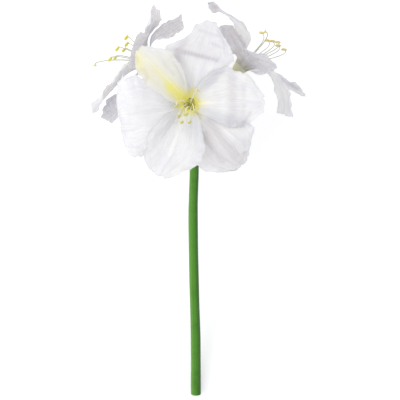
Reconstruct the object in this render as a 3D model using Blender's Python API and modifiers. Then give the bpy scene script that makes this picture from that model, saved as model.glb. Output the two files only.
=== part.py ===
"""Cut amaryllis stem lying on a table, with three white trumpet blooms.

Metres, +Z up, table at z = 0. The scape runs along +Y from its cut end to the umbel.
The front bloom opens upwards, the left one towards -X and the right one towards +X.
The part rests on the scape's cut end and on the lowest tepal of each side bloom.
"""

from dataclasses import dataclass

import bmesh
import bpy
import numpy as np
from mathutils import Matrix, Vector

MM = 0.001

# Thickness of a tepal, and the gap left where two pieces meet
SHEET = 0.8 * MM
SEAT = 0.3 * MM

# Scape: centre line from the cut end to the umbel, and its radii
SCAPE_LINE = [
    Vector((-6.38, -276.26, 6.9)) * MM,
    Vector((-6.68, -196.26, 21.5)) * MM,
    Vector((-8.88, -106.26, 38.5)) * MM,
    Vector((-10.08, -16.26, 56.5)) * MM,
    Vector((-8.48, 43.74, 69.0)) * MM,
    Vector((-8.08, 107.74, 82.0)) * MM,
]
SCAPE_RADIUS_CUT = 7.0 * MM
SCAPE_RADIUS_NECK = 6.1 * MM
SCAPE_RADIUS_TOP = 8.2 * MM
SCAPE_FLARE_LENGTH = 14.0 * MM
SCAPE_SECTIONS = 16

# Pedicels: they stand side by side on the scape's flat top, and swell into the ovary
PEDICEL_RADIUS = 3.3 * MM
PEDICEL_OFFSET = 4.2 * MM
PEDICEL_SECTIONS = 14
OVARY_RADIUS = 5.4 * MM
OVARY_LENGTH = 17.0 * MM
OVARY_END_RADIUS = 4.6 * MM

# Perianth tube: a small cup on the ovary, whose thick rim carries both whorls of tepals
TUBE_LENGTH = 13.0 * MM
TUBE_FLOOR = 2.4 * MM
TUBE_BORE_BOTTOM = 3.9 * MM
TUBE_BORE_TOP = 6.4 * MM
TUBE_OUTSIDE_BOTTOM = 5.2 * MM
TUBE_OUTSIDE_TOP = 9.6 * MM
TUBE_SIDES = 20

# Blades grow from rings: the two whorls of tepals on the tube's rim, and the spathe round the scape's top
RING_RADIUS = {"inner": 7.2 * MM, "outer": 8.7 * MM, "spathe": SCAPE_RADIUS_TOP + SEAT + SHEET}
RING_HEIGHT = {"inner": TUBE_LENGTH + SEAT, "outer": TUBE_LENGTH + SEAT, "spathe": -2.0 * MM}
RING_SLANT = {"inner": np.radians(13), "outer": np.radians(19), "spathe": np.radians(6)}
CLAW_HALF_ANGLE = np.radians(27)
STATIONS = (0, 0.15, 0.3, 0.45, 0.6, 0.75, 0.9, 1)
TEPAL_ROWS = 14
TEPAL_COLUMNS = 8

# A blade's margin has this many waves, and its roll is complete at this share of its length
WAVES = 2.4
ROLL_END = 0.4

# Stamens and style
STAMEN_RING_WALL = 1.1 * MM
STAMEN_RING_HEIGHT = 1.6 * MM
FILAMENT_RADIUS = 0.7 * MM
FILAMENT_FOOT = 2.9 * MM
ANTHER_LENGTH = 8.5 * MM
ANTHER_RADIUS = 1.8 * MM
STYLE_RADIUS = 0.9 * MM
STIGMA_LENGTH = 3.0 * MM


@dataclass
class Tepal:
    """One tepal in its bloom: angles in degrees, sizes in millimetres. left and right are its
    widths on either side of the midrib, as seen from above, at the shares in STATIONS. roll turns
    the whole blade about its midrib, and twist turns it more and more towards the tip. tip_round
    shortens both sides of the tip by a share of the length."""

    name: str
    whorl: str
    azimuth: float
    flare: float
    length: float
    bend: float
    left: tuple
    right: tuple
    tip_round: float = 0.06
    curl: float = 25
    curl_start: float = 0.55
    roll: float = 0
    twist: float = 0
    sweep: float = 0
    cup: float = 0
    ruffle: float = 3
    phase: float = 0


@dataclass
class Bloom:
    """A bloom stands on its ovary at base, opens along axis, and ninety is its azimuth of 90 degrees.
    Its anthers lie along anther_way."""

    name: str
    base: Vector
    axis: Vector
    ninety: Vector
    foot_azimuth: float
    tepals: list
    anthers: list
    anther_way: tuple
    style_tip: tuple
    hook: tuple


FRONT = Bloom(
    name="front",
    base=Vector((-12.98, 130.24, 132.0)) * MM,
    axis=Vector((-0.05, -0.04, 1)),
    ninety=Vector((0, 1, 0)),
    foot_azimuth=90,
    tepals=[
        Tepal("petal_1", "inner", 134, 74, 111.1, 66,
              (11, 16, 19, 22, 22, 18, 11), (9, 16, 24, 29, 27, 20, 12),
              curl=28, twist=9, sweep=-2, cup=-0.1, tip_round=0.05, phase=0.4),
        Tepal("petal_2", "inner", 4, 80, 108.2, 50,
              (14, 30, 42, 44, 36, 26, 12), (12, 19, 29, 33, 32, 22, 12),
              curl=13, twist=-4, sweep=-4, cup=-0.1, tip_round=0.03, phase=2),
        Tepal("petal_3", "inner", 248, 77, 113.6, 54,
              (14, 27, 39, 44, 39, 27, 15), (11, 20, 28, 32, 30, 24, 13),
              curl=21, twist=-1, sweep=-1, cup=0.2, tip_round=0.04, phase=4.1),
        Tepal("sepal_1", "outer", 78, 81, 121.8, 51,
              (11, 22, 34, 46, 25, 12, 9), (13, 25, 37, 43, 36, 22, 13),
              curl=50, twist=1, sweep=-3, cup=-0.4, tip_round=0.05, phase=1.2),
        Tepal("sepal_2", "outer", 306, 82, 114.2, 51,
              (12, 23, 34, 45, 44, 31, 15), (15, 27, 36, 41, 41, 30, 16),
              curl=37, twist=1, sweep=5, cup=-0.5, tip_round=0.04, phase=3.3),
        Tepal("sepal_3", "outer", 197, 85, 101.5, 47,
              (13, 24, 34, 45, 50, 51, 46), (17, 32, 45, 53, 53, 53, 53),
              curl=36, twist=6, sweep=-4, cup=-0.2, tip_round=0, phase=5.2),
    ],
    anthers=[(8, -11, 66), (-15, -3, 58), (-12, -16, 54), (-8, -24, 62), (-3, -14, 56), (2, -24, 64)],
    anther_way=(-0.5, -0.3, 1),
    style_tip=(13, 16, 70),
    hook=(0, -10),
)
LEFT = Bloom(
    name="left",
    base=Vector((-48.48, 184.34, 94.0)) * MM,
    axis=Vector((-0.92, 0.39, -0.14)),
    ninety=Vector((0, 0, 1)),
    foot_azimuth=210,
    tepals=[
        Tepal("petal_1", "inner", 145, 97, 85.8, 48,
              (14, 22, 30, 35, 34, 25, 14), (8, 12, 22, 26, 28, 28, 22),
              curl=-20, twist=7, sweep=2, curl_start=0.59, cup=-0.6, tip_round=0.05, phase=0.9),
        Tepal("petal_2", "inner", 13, 73, 109.7, 51,
              (12, 20, 26, 26, 26, 21, 15), (13, 32, 34, 31, 32, 27, 13),
              curl=6, roll=-12, twist=-13, sweep=-4, curl_start=0.6, cup=1.2, tip_round=0.03, phase=2.6),
        Tepal("petal_3", "inner", 265, 91, 100.2, 47,
              (8, 14, 19, 22, 21, 16, 9), (7, 11, 18, 21, 21, 16, 8),
              curl=31, twist=-3, sweep=2, curl_start=0.56, cup=-0.4, phase=4.4),
        Tepal("sepal_1", "outer", 197, 112, 85.8, 48,
              (7, 8, 12, 20, 25, 16, 5), (10, 14, 22, 25, 22, 15, 9),
              curl=31, roll=4, twist=-17, cup=-1, tip_round=-0.05, phase=1.7),
        Tepal("sepal_2", "outer", 339, 82, 100.8, 42,
              (7, 9, 20, 30, 32, 24, 13), (9, 11, 21, 29, 28, 21, 11),
              curl=3, twist=20, sweep=20, cup=0.3, tip_round=-0.05, phase=3),
        Tepal("sepal_3", "outer", 89, 97, 86.9, 40,
              (13, 23, 30, 30, 30, 28, 17), (10, 17, 19, 17, 19, 19, 13),
              curl=-15, twist=5, sweep=-4, curl_start=0.65, cup=-0.8, tip_round=-0.04, phase=5),
    ],
    anthers=[(18, 10, 73), (1, 8, 70), (-18, 6, 65), (-11, -6, 64), (-3, -12, 66), (12, -8, 72)],
    anther_way=(1, 0.2, 0.3),
    style_tip=(32, 0, 92),
    hook=(8, 0),
)
RIGHT = Bloom(
    name="right",
    base=Vector((44.52, 174.34, 94.0)) * MM,
    axis=Vector((0.68, 0.72, -0.14)),
    ninety=Vector((0, 0, 1)),
    foot_azimuth=330,
    tepals=[
        Tepal("petal_1", "inner", 43, 87, 72, 22,
              (9, 12, 14, 14, 12, 10, 7), (9, 15, 16, 14, 12, 9, 6),
              curl=6, roll=56, twist=-6, cup=0.2, tip_round=0.02, phase=1.1),
        Tepal("petal_2", "inner", 151, 110, 128, 52,
              (10, 13, 16, 16, 14, 14, 12), (8, 9, 10, 12, 13, 12, 11),
              curl=26, roll=22, twist=24, sweep=-6, curl_start=0.4, cup=-0.1, tip_round=-0.02, phase=3.6),
        Tepal("petal_3", "inner", 268, 77, 98.9, 48,
              (9, 12, 16, 19, 18, 14, 9), (11, 18, 26, 30, 29, 22, 12),
              curl=33, twist=4, sweep=2, cup=0.6, phase=5.5),
        Tepal("sepal_1", "outer", -19, 107, 112, 106,
              (5, 9, 13, 14, 13, 12, 8), (8, 13, 20, 22, 18, 12, 8),
              curl=-2, roll=-38, twist=34, sweep=6, cup=-0.3, tip_round=-0.04, phase=0.2),
        Tepal("sepal_2", "outer", 108, 90, 86, 30,
              (12, 17, 20, 20, 17, 13, 8), (12, 18, 23, 27, 27, 21, 12),
              curl=0, twist=14, sweep=3, cup=-0.8, tip_round=0.02, phase=2.2),
        Tepal("sepal_3", "outer", 205, 72, 113, 44,
              (12, 16, 18, 17, 16, 18, 9), (10, 12, 14, 14, 12, 9, 5),
              curl=6, roll=-9, twist=-6, sweep=4, cup=0.3, tip_round=0, phase=4.9),
    ],
    anthers=[(11, 6, 69), (-14, 12, 73), (-27, 4, 74), (-17, -2, 74), (-7, -8, 75), (-1, -12, 72)],
    anther_way=(-0.7, 0.2, 0.6),
    style_tip=(8, 0, 76),
    hook=(16, 0),
)

# Spathe: the two withered bracts that had wrapped the buds, now bent back from the scape's top
BRACTS = [
    Tepal("bract_1", "spathe", 5, 112, 46, 24,
          (10, 11, 11, 10, 8, 5, 2), (10, 11, 11, 9, 7, 5, 2),
          curl=30, curl_start=0.5, twist=25, sweep=-12, cup=0.4, ruffle=2.5, phase=1),
    Tepal("bract_2", "spathe", 176, 104, 40, 22,
          (10, 11, 11, 9, 7, 4, 2), (10, 11, 11, 10, 8, 5, 2),
          curl=38, curl_start=0.5, twist=-18, sweep=14, cup=0.6, ruffle=2.5, phase=3.5),
]


def smooth(x):
    """Eases from 0 to 1 as x goes from 0 to 1."""
    x = np.clip(x, 0, 1)
    return x * x * (3 - 2 * x)


def clear_scene():
    for obj in list(bpy.data.objects):
        bpy.data.objects.remove(obj, do_unlink=True)


def make_material(name, colour, roughness):
    material = bpy.data.materials.new(name)
    material.use_nodes = True
    shader = material.node_tree.nodes["Principled BSDF"]
    shader.inputs["Base Color"].default_value = (*colour, 1)
    shader.inputs["Roughness"].default_value = roughness
    shader.inputs["Metallic"].default_value = 0
    return material


def add_object(name, data, collection, material, matrix=None):
    obj = bpy.data.objects.new(name, data)
    collection.objects.link(obj)
    data.materials.append(material)
    if matrix is not None:
        obj.matrix_world = matrix
    return obj


def frame_matrix(base, axis, ninety):
    """A frame at base: Z along axis, Y towards the azimuth of 90 degrees."""
    z = axis.normalized()
    x = ninety.cross(z).normalized()
    y = z.cross(x)
    turn = Matrix((x, y, z)).transposed()
    return Matrix.Translation(base) @ turn.to_4x4()


def bloom_matrix(bloom):
    return frame_matrix(bloom.base, bloom.axis, bloom.ninety)


def bezier(p0, p1, p2, p3, count):
    """Points along a cubic Bezier curve."""
    points = []
    for t in np.linspace(0, 1, count).tolist():
        u = 1 - t
        points.append(u**3 * p0 + 3 * u * u * t * p1 + 3 * u * t * t * p2 + t**3 * p3)
    return points


def through(points, count):
    """Points of a smooth curve that passes through the given ones."""
    ends = [2 * points[0] - points[1], *points, 2 * points[-1] - points[-2]]
    found = []
    for place in np.linspace(0, len(points) - 1 - 1e-6, count).tolist():
        i = int(place)
        t = place - i
        a, b, c, d = ends[i : i + 4]
        found.append(
            0.5 * (2 * b + (c - a) * t + (2 * a - 5 * b + 4 * c - d) * t * t
                   + (3 * b - a - 3 * c + d) * t**3)
        )
    return found


def rod(name, points, radii, collection, material, sides=8, matrix=None):
    """A round rod along points, with its radius at each of them, as a curve with a bevel."""
    curve = bpy.data.curves.new(name, "CURVE")
    curve.dimensions = "3D"
    curve.bevel_depth = 1.0
    curve.bevel_resolution = (sides - 4) // 2
    curve.use_fill_caps = True
    spline = curve.splines.new("POLY")
    spline.points.add(len(points) - 1)
    for spot, place, radius in zip(spline.points, points, radii):
        spot.co = (*place, 1)
        spot.radius = radius
    spline.use_smooth = True
    return add_object(name, curve, collection, material, matrix)


def as_mesh(obj):
    """Turns a curve object into a mesh object whose caps are welded, so that a Boolean takes it."""
    bpy.context.view_layer.update()
    graph = bpy.context.evaluated_depsgraph_get()
    mesh = bpy.data.meshes.new_from_object(obj.evaluated_get(graph))
    shape = bmesh.new()
    shape.from_mesh(mesh)
    bmesh.ops.remove_doubles(shape, verts=shape.verts, dist=1e-6)
    shape.to_mesh(mesh)
    shape.free()
    name, matrix, collection = obj.name, obj.matrix_world.copy(), obj.users_collection[0]
    bpy.data.objects.remove(obj)
    made = bpy.data.objects.new(name, mesh)
    collection.objects.link(made)
    made.matrix_world = matrix
    return made


def fuse(body, others):
    """Joins the other objects to the body with one Boolean union, and removes them."""
    joined = bpy.data.collections.new(body.name + "_repeats")
    bpy.context.scene.collection.children.link(joined)
    for obj in others:
        for home in list(obj.users_collection):
            home.objects.unlink(obj)
        joined.objects.link(obj)
    union = body.modifiers.new("union", "BOOLEAN")
    union.operation = "UNION"
    union.operand_type = "COLLECTION"
    union.collection = joined
    union.solver = "MANIFOLD"
    bpy.context.view_layer.update()
    graph = bpy.context.evaluated_depsgraph_get()
    mesh = bpy.data.meshes.new_from_object(body.evaluated_get(graph))
    body.modifiers.clear()
    body.data = mesh
    for obj in list(joined.objects):
        bpy.data.objects.remove(obj)
    bpy.data.collections.remove(joined)
    return body


def turned(name, profile, sides, collection, material, matrix):
    """A turned piece: a profile of (radius, height) points that runs down its outer side."""
    mesh = bpy.data.meshes.new(name)
    mesh.from_pydata([(r, 0, z) for r, z in profile], [(i, i + 1) for i in range(len(profile) - 1)], [])
    obj = add_object(name, mesh, collection, material, matrix)
    screw = obj.modifiers.new("turn", "SCREW")
    screw.axis = "Z"
    screw.steps = sides
    screw.render_steps = sides
    screw.use_merge_vertices = True
    screw.merge_threshold = 1e-5
    return obj


def midrib(tepal, along):
    """Radius, height and slant of the tepal's midrib, at shares of its length."""
    fine = np.linspace(0, 1, 241)
    slant = RING_SLANT[tepal.whorl]
    bend = smooth(fine * tepal.length / tepal.bend)
    curl = smooth((fine - tepal.curl_start) / (1 - tepal.curl_start))
    theta = slant + (np.radians(tepal.flare) - slant) * bend + np.radians(tepal.curl) * curl
    step = tepal.length * MM / (len(fine) - 1)
    middle = (theta[1:] + theta[:-1]) / 2
    radius = RING_RADIUS[tepal.whorl] + np.concatenate([[0], np.cumsum(np.sin(middle))]) * step
    height = RING_HEIGHT[tepal.whorl] + np.concatenate([[0], np.cumsum(np.cos(middle))]) * step
    return (np.interp(along, fine, values) for values in (radius, height, theta))


def curve_through(places, values, at):
    """A smooth curve through values at the given places, read where at says."""
    places = np.asarray(places, float)
    values = np.asarray(values, float)
    slopes = np.gradient(values, places, axis=0)
    i = np.clip(np.searchsorted(places, at) - 1, 0, len(places) - 2)
    gap = places[i + 1] - places[i]
    t = (at - places[i]) / gap
    near = (2 * t**3 - 3 * t**2 + 1) * values[i] + (t**3 - 2 * t**2 + t) * gap * slopes[i]
    return near + (3 * t**2 - 2 * t**3) * values[i + 1] + (t**3 - t**2) * gap * slopes[i + 1]


def tepal_points(tepal, along, across):
    """The tepal's middle surface in its bloom's frame. It follows the trumpet's round form,
    and its margin waves in and out towards the tip."""
    s, v = np.meshgrid(along, across, indexing="ij")
    claw = RING_RADIUS[tepal.whorl] * CLAW_HALF_ANGLE / MM
    left = curve_through(STATIONS, (claw, *tepal.left), along)[:, None]
    right = curve_through(STATIONS, (claw, *tepal.right), along)[:, None]
    side_phase = tepal.phase + np.where(v < 0, 2.2, 0)
    outline = 1 + 0.03 * np.sin(2 * np.pi * WAVES * s + side_phase) * smooth(s / 0.6)
    offset = v * np.where(v > 0, left, right) * MM * outline
    s = s * (1 - tepal.tip_round * np.abs(v) ** 2.5 * s**2)

    radius, height, theta = midrib(tepal, s)
    azimuth = np.radians(tepal.azimuth + tepal.sweep * s**2)
    bow = np.cos(theta) / radius + tepal.cup / (tepal.length * MM)
    bow = np.where(np.abs(bow) < 1e-3, 1e-3, bow)
    sideways = np.sin(offset * bow) / bow
    inward = (1 - np.cos(offset * bow)) / bow
    wave = np.sin(2 * np.pi * WAVES * s + 1.3 * side_phase)
    inward = inward + tepal.ruffle * MM * smooth((s - 0.5) / 0.4) * np.abs(v) ** 3 * wave

    turn = np.radians(tepal.roll) * smooth(s / ROLL_END) + np.radians(tepal.twist) * s**2
    across_way = np.stack([-np.sin(azimuth), np.cos(azimuth), 0 * azimuth], axis=-1)
    inward_way = np.stack(
        [-np.cos(theta) * np.cos(azimuth), -np.cos(theta) * np.sin(azimuth), np.sin(theta)], axis=-1
    )
    turned_across = across_way * np.cos(turn)[..., None] + inward_way * np.sin(turn)[..., None]
    turned_inward = inward_way * np.cos(turn)[..., None] - across_way * np.sin(turn)[..., None]
    rib = np.stack([radius * np.cos(azimuth), radius * np.sin(azimuth), height], axis=-1)
    return rib + turned_across * sideways[..., None] + turned_inward * inward[..., None]


def sheet(name, points, collection, material, matrix):
    """A thin closed blade from a grid of points: an open surface of triangles with Solidify."""
    rows, columns = points.shape[0] - 1, points.shape[1] - 1
    shape = bmesh.new()
    bmesh.ops.create_grid(shape, x_segments=columns, y_segments=rows, size=1)
    for vert in shape.verts:
        column = round((vert.co.x + 1) / 2 * columns)
        row = round((vert.co.y + 1) / 2 * rows)
        vert.co = points[row, column]
    bmesh.ops.triangulate(shape, faces=shape.faces)
    mesh = bpy.data.meshes.new(name)
    shape.to_mesh(mesh)
    shape.free()
    mesh.shade_smooth()
    obj = add_object(name, mesh, collection, material, matrix)
    solid = obj.modifiers.new("thickness", "SOLIDIFY")
    solid.thickness = SHEET
    solid.offset = 0
    return obj


def grid_shares():
    """Shares along and across a tepal for its grid, closer together towards the tip."""
    even = np.linspace(0, 1, TEPAL_ROWS + 1)
    along = even * (1.2 - 0.2 * even)
    return along, np.linspace(-1, 1, TEPAL_COLUMNS + 1)


def make_blade(name, blade, collection, material, matrix):
    """A tepal or a bract, in the frame of the ring that it grows from."""
    return sheet(name, tepal_points(blade, *grid_shares()), collection, material, matrix)


def make_tube(bloom, collection, material):
    profile = [
        (0, TUBE_FLOOR),
        (TUBE_BORE_BOTTOM, TUBE_FLOOR),
        ((TUBE_BORE_BOTTOM + TUBE_BORE_TOP) / 2 - 0.3 * MM, TUBE_LENGTH * 0.6),
        (TUBE_BORE_TOP, TUBE_LENGTH),
        (TUBE_OUTSIDE_TOP, TUBE_LENGTH),
        ((TUBE_OUTSIDE_BOTTOM + TUBE_OUTSIDE_TOP) / 2 - 0.4 * MM, TUBE_LENGTH * 0.5),
        (TUBE_OUTSIDE_BOTTOM, 0),
        (0, 0),
    ]
    return turned(f"{bloom.name}_tube", profile, TUBE_SIDES, collection, material, bloom_matrix(bloom))


def make_pedicel(bloom, collection, material):
    """The flower's own stalk, from the scape's top to the ovary under its tube."""
    scape_way = (SCAPE_LINE[-1] - SCAPE_LINE[-2]).normalized()
    side = scape_way.cross(Vector((0, 0, 1))).normalized()
    up = side.cross(scape_way)
    angle = np.radians(bloom.foot_azimuth)
    foot = SCAPE_LINE[-1] + scape_way * SEAT
    foot = foot + (side * np.cos(angle) + up * np.sin(angle)) * PEDICEL_OFFSET
    axis = bloom.axis.normalized()
    end = bloom.base - axis * SEAT
    reach = (end - foot).length
    points = bezier(foot, foot + scape_way * reach * 0.35, end - axis * reach * 0.45, end, PEDICEL_SECTIONS + 1)
    gone = np.cumsum([0] + [(b - a).length for a, b in zip(points, points[1:])])
    left = (gone[-1] - gone) / OVARY_LENGTH
    radii = PEDICEL_RADIUS + (OVARY_RADIUS - PEDICEL_RADIUS) * smooth((1.25 - left) / 0.7)
    radii = radii + (OVARY_END_RADIUS - OVARY_RADIUS) * smooth((0.35 - left) / 0.35)
    return rod(f"{bloom.name}_pedicel", points, radii, collection, material, sides=10)


def bloom_point(x, y, z):
    """A place in a bloom's frame, given in millimetres."""
    return Vector((x, y, z)) * MM


def make_stamens(bloom, collection, material):
    """Six filaments with their anthers, joined by the ring that they grow from."""
    low = TUBE_FLOOR + SEAT
    high = low + STAMEN_RING_HEIGHT
    outer = FILAMENT_FOOT + FILAMENT_RADIUS
    inner = outer - STAMEN_RING_WALL - FILAMENT_RADIUS
    matrix = bloom_matrix(bloom)
    name = f"{bloom.name}_stamens"
    profile = [(inner, low), (inner, high), (outer, high), (outer, low), (inner, low)]
    ring = turned(name, profile, 12, collection, material, matrix)
    repeats = []
    for k, (x, y, z) in enumerate(bloom.anthers):
        angle = np.radians(60 * k + 30)
        foot = Vector((np.cos(angle), np.sin(angle), 0)) * FILAMENT_FOOT
        foot.z = low + STAMEN_RING_HEIGHT / 2
        tip = bloom_point(x, y, z)
        bend = tip - bloom_point(*bloom.hook, -3)
        rise = Vector((foot.x * 0.9, foot.y * 0.9, z * 0.42 * MM))
        points = bezier(foot, rise, bend, tip, 9)
        thread = rod(f"filament_{k}", points, [FILAMENT_RADIUS] * 9, collection, material, 4, matrix)
        repeats.append(as_mesh(thread))
        lie = Vector(bloom.anther_way).normalized() * ANTHER_LENGTH / 2
        sag = (points[-1] - points[-2]).normalized() * ANTHER_RADIUS * 0.6
        shares = [-1, -0.6, 0, 0.6, 1]
        line = [tip + lie * c + sag * (1 - c * c) for c in shares]
        radii = [ANTHER_RADIUS * r for r in (0.35, 0.9, 1, 0.9, 0.35)]
        repeats.append(as_mesh(rod(f"anther_{k}", line, radii, collection, material, 6, matrix)))
    ring = as_mesh(ring)
    ring.data.materials.clear()
    ring.data.materials.append(material)
    return fuse(ring, repeats)


def make_style(bloom, collection, material):
    """The style, from the ovary's top through the stamens' ring, with its three-lobed stigma."""
    matrix = bloom_matrix(bloom)
    tip = bloom_point(*bloom.style_tip)
    foot = Vector((0, 0, TUBE_FLOOR + SEAT))
    bend = tip - bloom_point(bloom.hook[0] * 0.7, bloom.hook[1] * 0.7, -4)
    points = bezier(foot, Vector((0, 0, tip.z * 0.45)), bend, tip, 11)
    way = (points[-1] - points[-2]).normalized()
    side = way.orthogonal().normalized()
    style = as_mesh(rod(f"{bloom.name}_style", points, [STYLE_RADIUS] * 11, collection, material, 6, matrix))
    lobes = []
    for k in range(3):
        lean = Matrix.Rotation(np.radians(120 * k), 3, way) @ side
        line = [tip - way * STYLE_RADIUS, tip + (way + lean * 0.6) * STIGMA_LENGTH * 0.6,
                tip + (way * 0.8 + lean * 1.2) * STIGMA_LENGTH]
        radii = [STYLE_RADIUS * r for r in (0.8, 0.85, 0.5)]
        lobes.append(as_mesh(rod(f"lobe_{k}", line, radii, collection, material, 6, matrix)))
    style.data.materials.clear()
    style.data.materials.append(material)
    return fuse(style, lobes)


def make_scape(collection, material):
    points = through(SCAPE_LINE, SCAPE_SECTIONS + 1)
    gone = np.cumsum([0] + [(b - a).length for a, b in zip(points, points[1:])])
    radii = SCAPE_RADIUS_CUT + (SCAPE_RADIUS_NECK - SCAPE_RADIUS_CUT) * gone / gone[-1]
    flare = smooth((gone - gone[-1]) / SCAPE_FLARE_LENGTH + 1)
    radii = radii + (SCAPE_RADIUS_TOP - SCAPE_RADIUS_NECK) * flare
    return rod("scape", points, radii, collection, material, sides=16)


def main():
    clear_scene()
    parts = bpy.data.collections.new("amaryllis_stem")
    bpy.context.scene.collection.children.link(parts)
    white = make_material("petal_white", (0.93, 0.93, 0.9), 0.55)
    green = make_material("scape_green", (0.14, 0.3, 0.06), 0.45)
    pale_green = make_material("tube_green", (0.55, 0.62, 0.2), 0.5)
    thread = make_material("stamen_cream", (0.85, 0.85, 0.6), 0.5)
    make_scape(parts, green)
    papery = make_material("spathe_tan", (0.62, 0.55, 0.4), 0.7)
    umbel = frame_matrix(SCAPE_LINE[-1], SCAPE_LINE[-1] - SCAPE_LINE[-2], Vector((0, 0, 1)))
    for bract in BRACTS:
        make_blade(f"spathe_{bract.name}", bract, parts, papery, umbel)
    for bloom in (FRONT, LEFT, RIGHT):
        make_pedicel(bloom, parts, green)
        make_tube(bloom, parts, pale_green)
        for tepal in bloom.tepals:
            make_blade(f"{bloom.name}_{tepal.name}", tepal, parts, white, bloom_matrix(bloom))
        make_stamens(bloom, parts, thread)
        make_style(bloom, parts, thread)


main()
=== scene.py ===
from dataclasses import dataclass

import bpy
import numpy as np
from mathutils import Matrix, Vector


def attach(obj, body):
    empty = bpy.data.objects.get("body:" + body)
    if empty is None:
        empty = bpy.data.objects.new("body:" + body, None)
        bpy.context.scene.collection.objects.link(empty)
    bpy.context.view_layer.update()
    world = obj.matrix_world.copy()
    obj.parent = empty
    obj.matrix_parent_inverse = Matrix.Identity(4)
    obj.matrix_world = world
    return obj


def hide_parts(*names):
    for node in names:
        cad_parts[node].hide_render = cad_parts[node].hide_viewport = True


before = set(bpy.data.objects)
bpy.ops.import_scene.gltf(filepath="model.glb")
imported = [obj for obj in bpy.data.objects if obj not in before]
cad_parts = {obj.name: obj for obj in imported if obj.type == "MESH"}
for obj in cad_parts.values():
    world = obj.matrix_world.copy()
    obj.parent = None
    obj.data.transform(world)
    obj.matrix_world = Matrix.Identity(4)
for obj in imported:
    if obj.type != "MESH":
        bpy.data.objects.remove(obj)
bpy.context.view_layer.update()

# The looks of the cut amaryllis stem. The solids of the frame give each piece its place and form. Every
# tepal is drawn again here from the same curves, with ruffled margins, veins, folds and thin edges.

MM = 0.001

# Sizes shared with the solids
SHEET = 0.8 * MM
SEAT = 0.3 * MM

# Scape: centre line from the cut end to the umbel, and its radii
SCAPE_LINE = [Vector(point) * MM for point in (
    (-6.38, -276.26, 6.9), (-6.68, -196.26, 21.5), (-8.88, -106.26, 38.5),
    (-10.08, -16.26, 56.5), (-8.48, 43.74, 69.0), (-8.08, 107.74, 82.0),
)]
SCAPE_RADIUS_CUT = 7.0 * MM
SCAPE_RADIUS_NECK = 6.1 * MM
SCAPE_RADIUS_TOP = 8.2 * MM
SCAPE_FLARE_LENGTH = 14.0 * MM

# Pedicels: they stand side by side on the scape's flat top, and swell into the ovary
PEDICEL_RADIUS = 3.3 * MM
PEDICEL_OFFSET = 4.2 * MM
OVARY_RADIUS = 5.4 * MM
OVARY_LENGTH = 17.0 * MM
OVARY_END_RADIUS = 4.6 * MM

# Perianth tube: a small cup on the ovary, whose thick rim carries both whorls of tepals
TUBE_LENGTH = 13.0 * MM
TUBE_FLOOR = 2.4 * MM

# Blades grow from rings: the two whorls of tepals on the tube's rim, and the spathe round the scape's top
RING_RADIUS = {"inner": 7.2 * MM, "outer": 8.7 * MM, "spathe": SCAPE_RADIUS_TOP + SEAT + SHEET}
RING_HEIGHT = {"inner": TUBE_LENGTH + SEAT, "outer": TUBE_LENGTH + SEAT, "spathe": -2.0 * MM}
RING_SLANT = {"inner": np.radians(13), "outer": np.radians(19), "spathe": np.radians(6)}
STATIONS = (0, 0.15, 0.3, 0.45, 0.6, 0.75, 0.9, 1)

# A blade's margin has this many waves, and its roll is complete at this share of its length
WAVES = 2.4
ROLL_END = 0.4

# Stamens and style
STAMEN_RING_WALL = 1.1 * MM
STAMEN_RING_HEIGHT = 1.6 * MM
FILAMENT_RADIUS = 0.7 * MM
FILAMENT_FOOT = 2.9 * MM
ANTHER_LENGTH = 8.5 * MM
ANTHER_RADIUS = 1.8 * MM
STYLE_RADIUS = 0.9 * MM
STIGMA_LENGTH = 3.0 * MM


@dataclass
class Tepal:
    """One tepal in its bloom: angles in degrees, sizes in millimetres. left and right are its
    widths on either side of the midrib, as seen from above, at the shares in STATIONS. roll turns
    the whole blade about its midrib, and twist turns it more and more towards the tip. tip_round
    shortens both sides of the tip by a share of the length."""

    name: str
    whorl: str
    azimuth: float
    flare: float
    length: float
    bend: float
    left: tuple
    right: tuple
    tip_round: float = 0.06
    curl: float = 25
    curl_start: float = 0.55
    roll: float = 0
    twist: float = 0
    sweep: float = 0
    cup: float = 0
    ruffle: float = 3
    phase: float = 0


@dataclass
class Bloom:
    """A bloom stands on its ovary at base, opens along axis, and ninety is its azimuth of 90 degrees.
    Its anthers lie along anther_way."""

    name: str
    base: Vector
    axis: Vector
    ninety: Vector
    foot_azimuth: float
    tepals: list
    anthers: list
    anther_way: tuple
    style_tip: tuple
    hook: tuple


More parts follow.
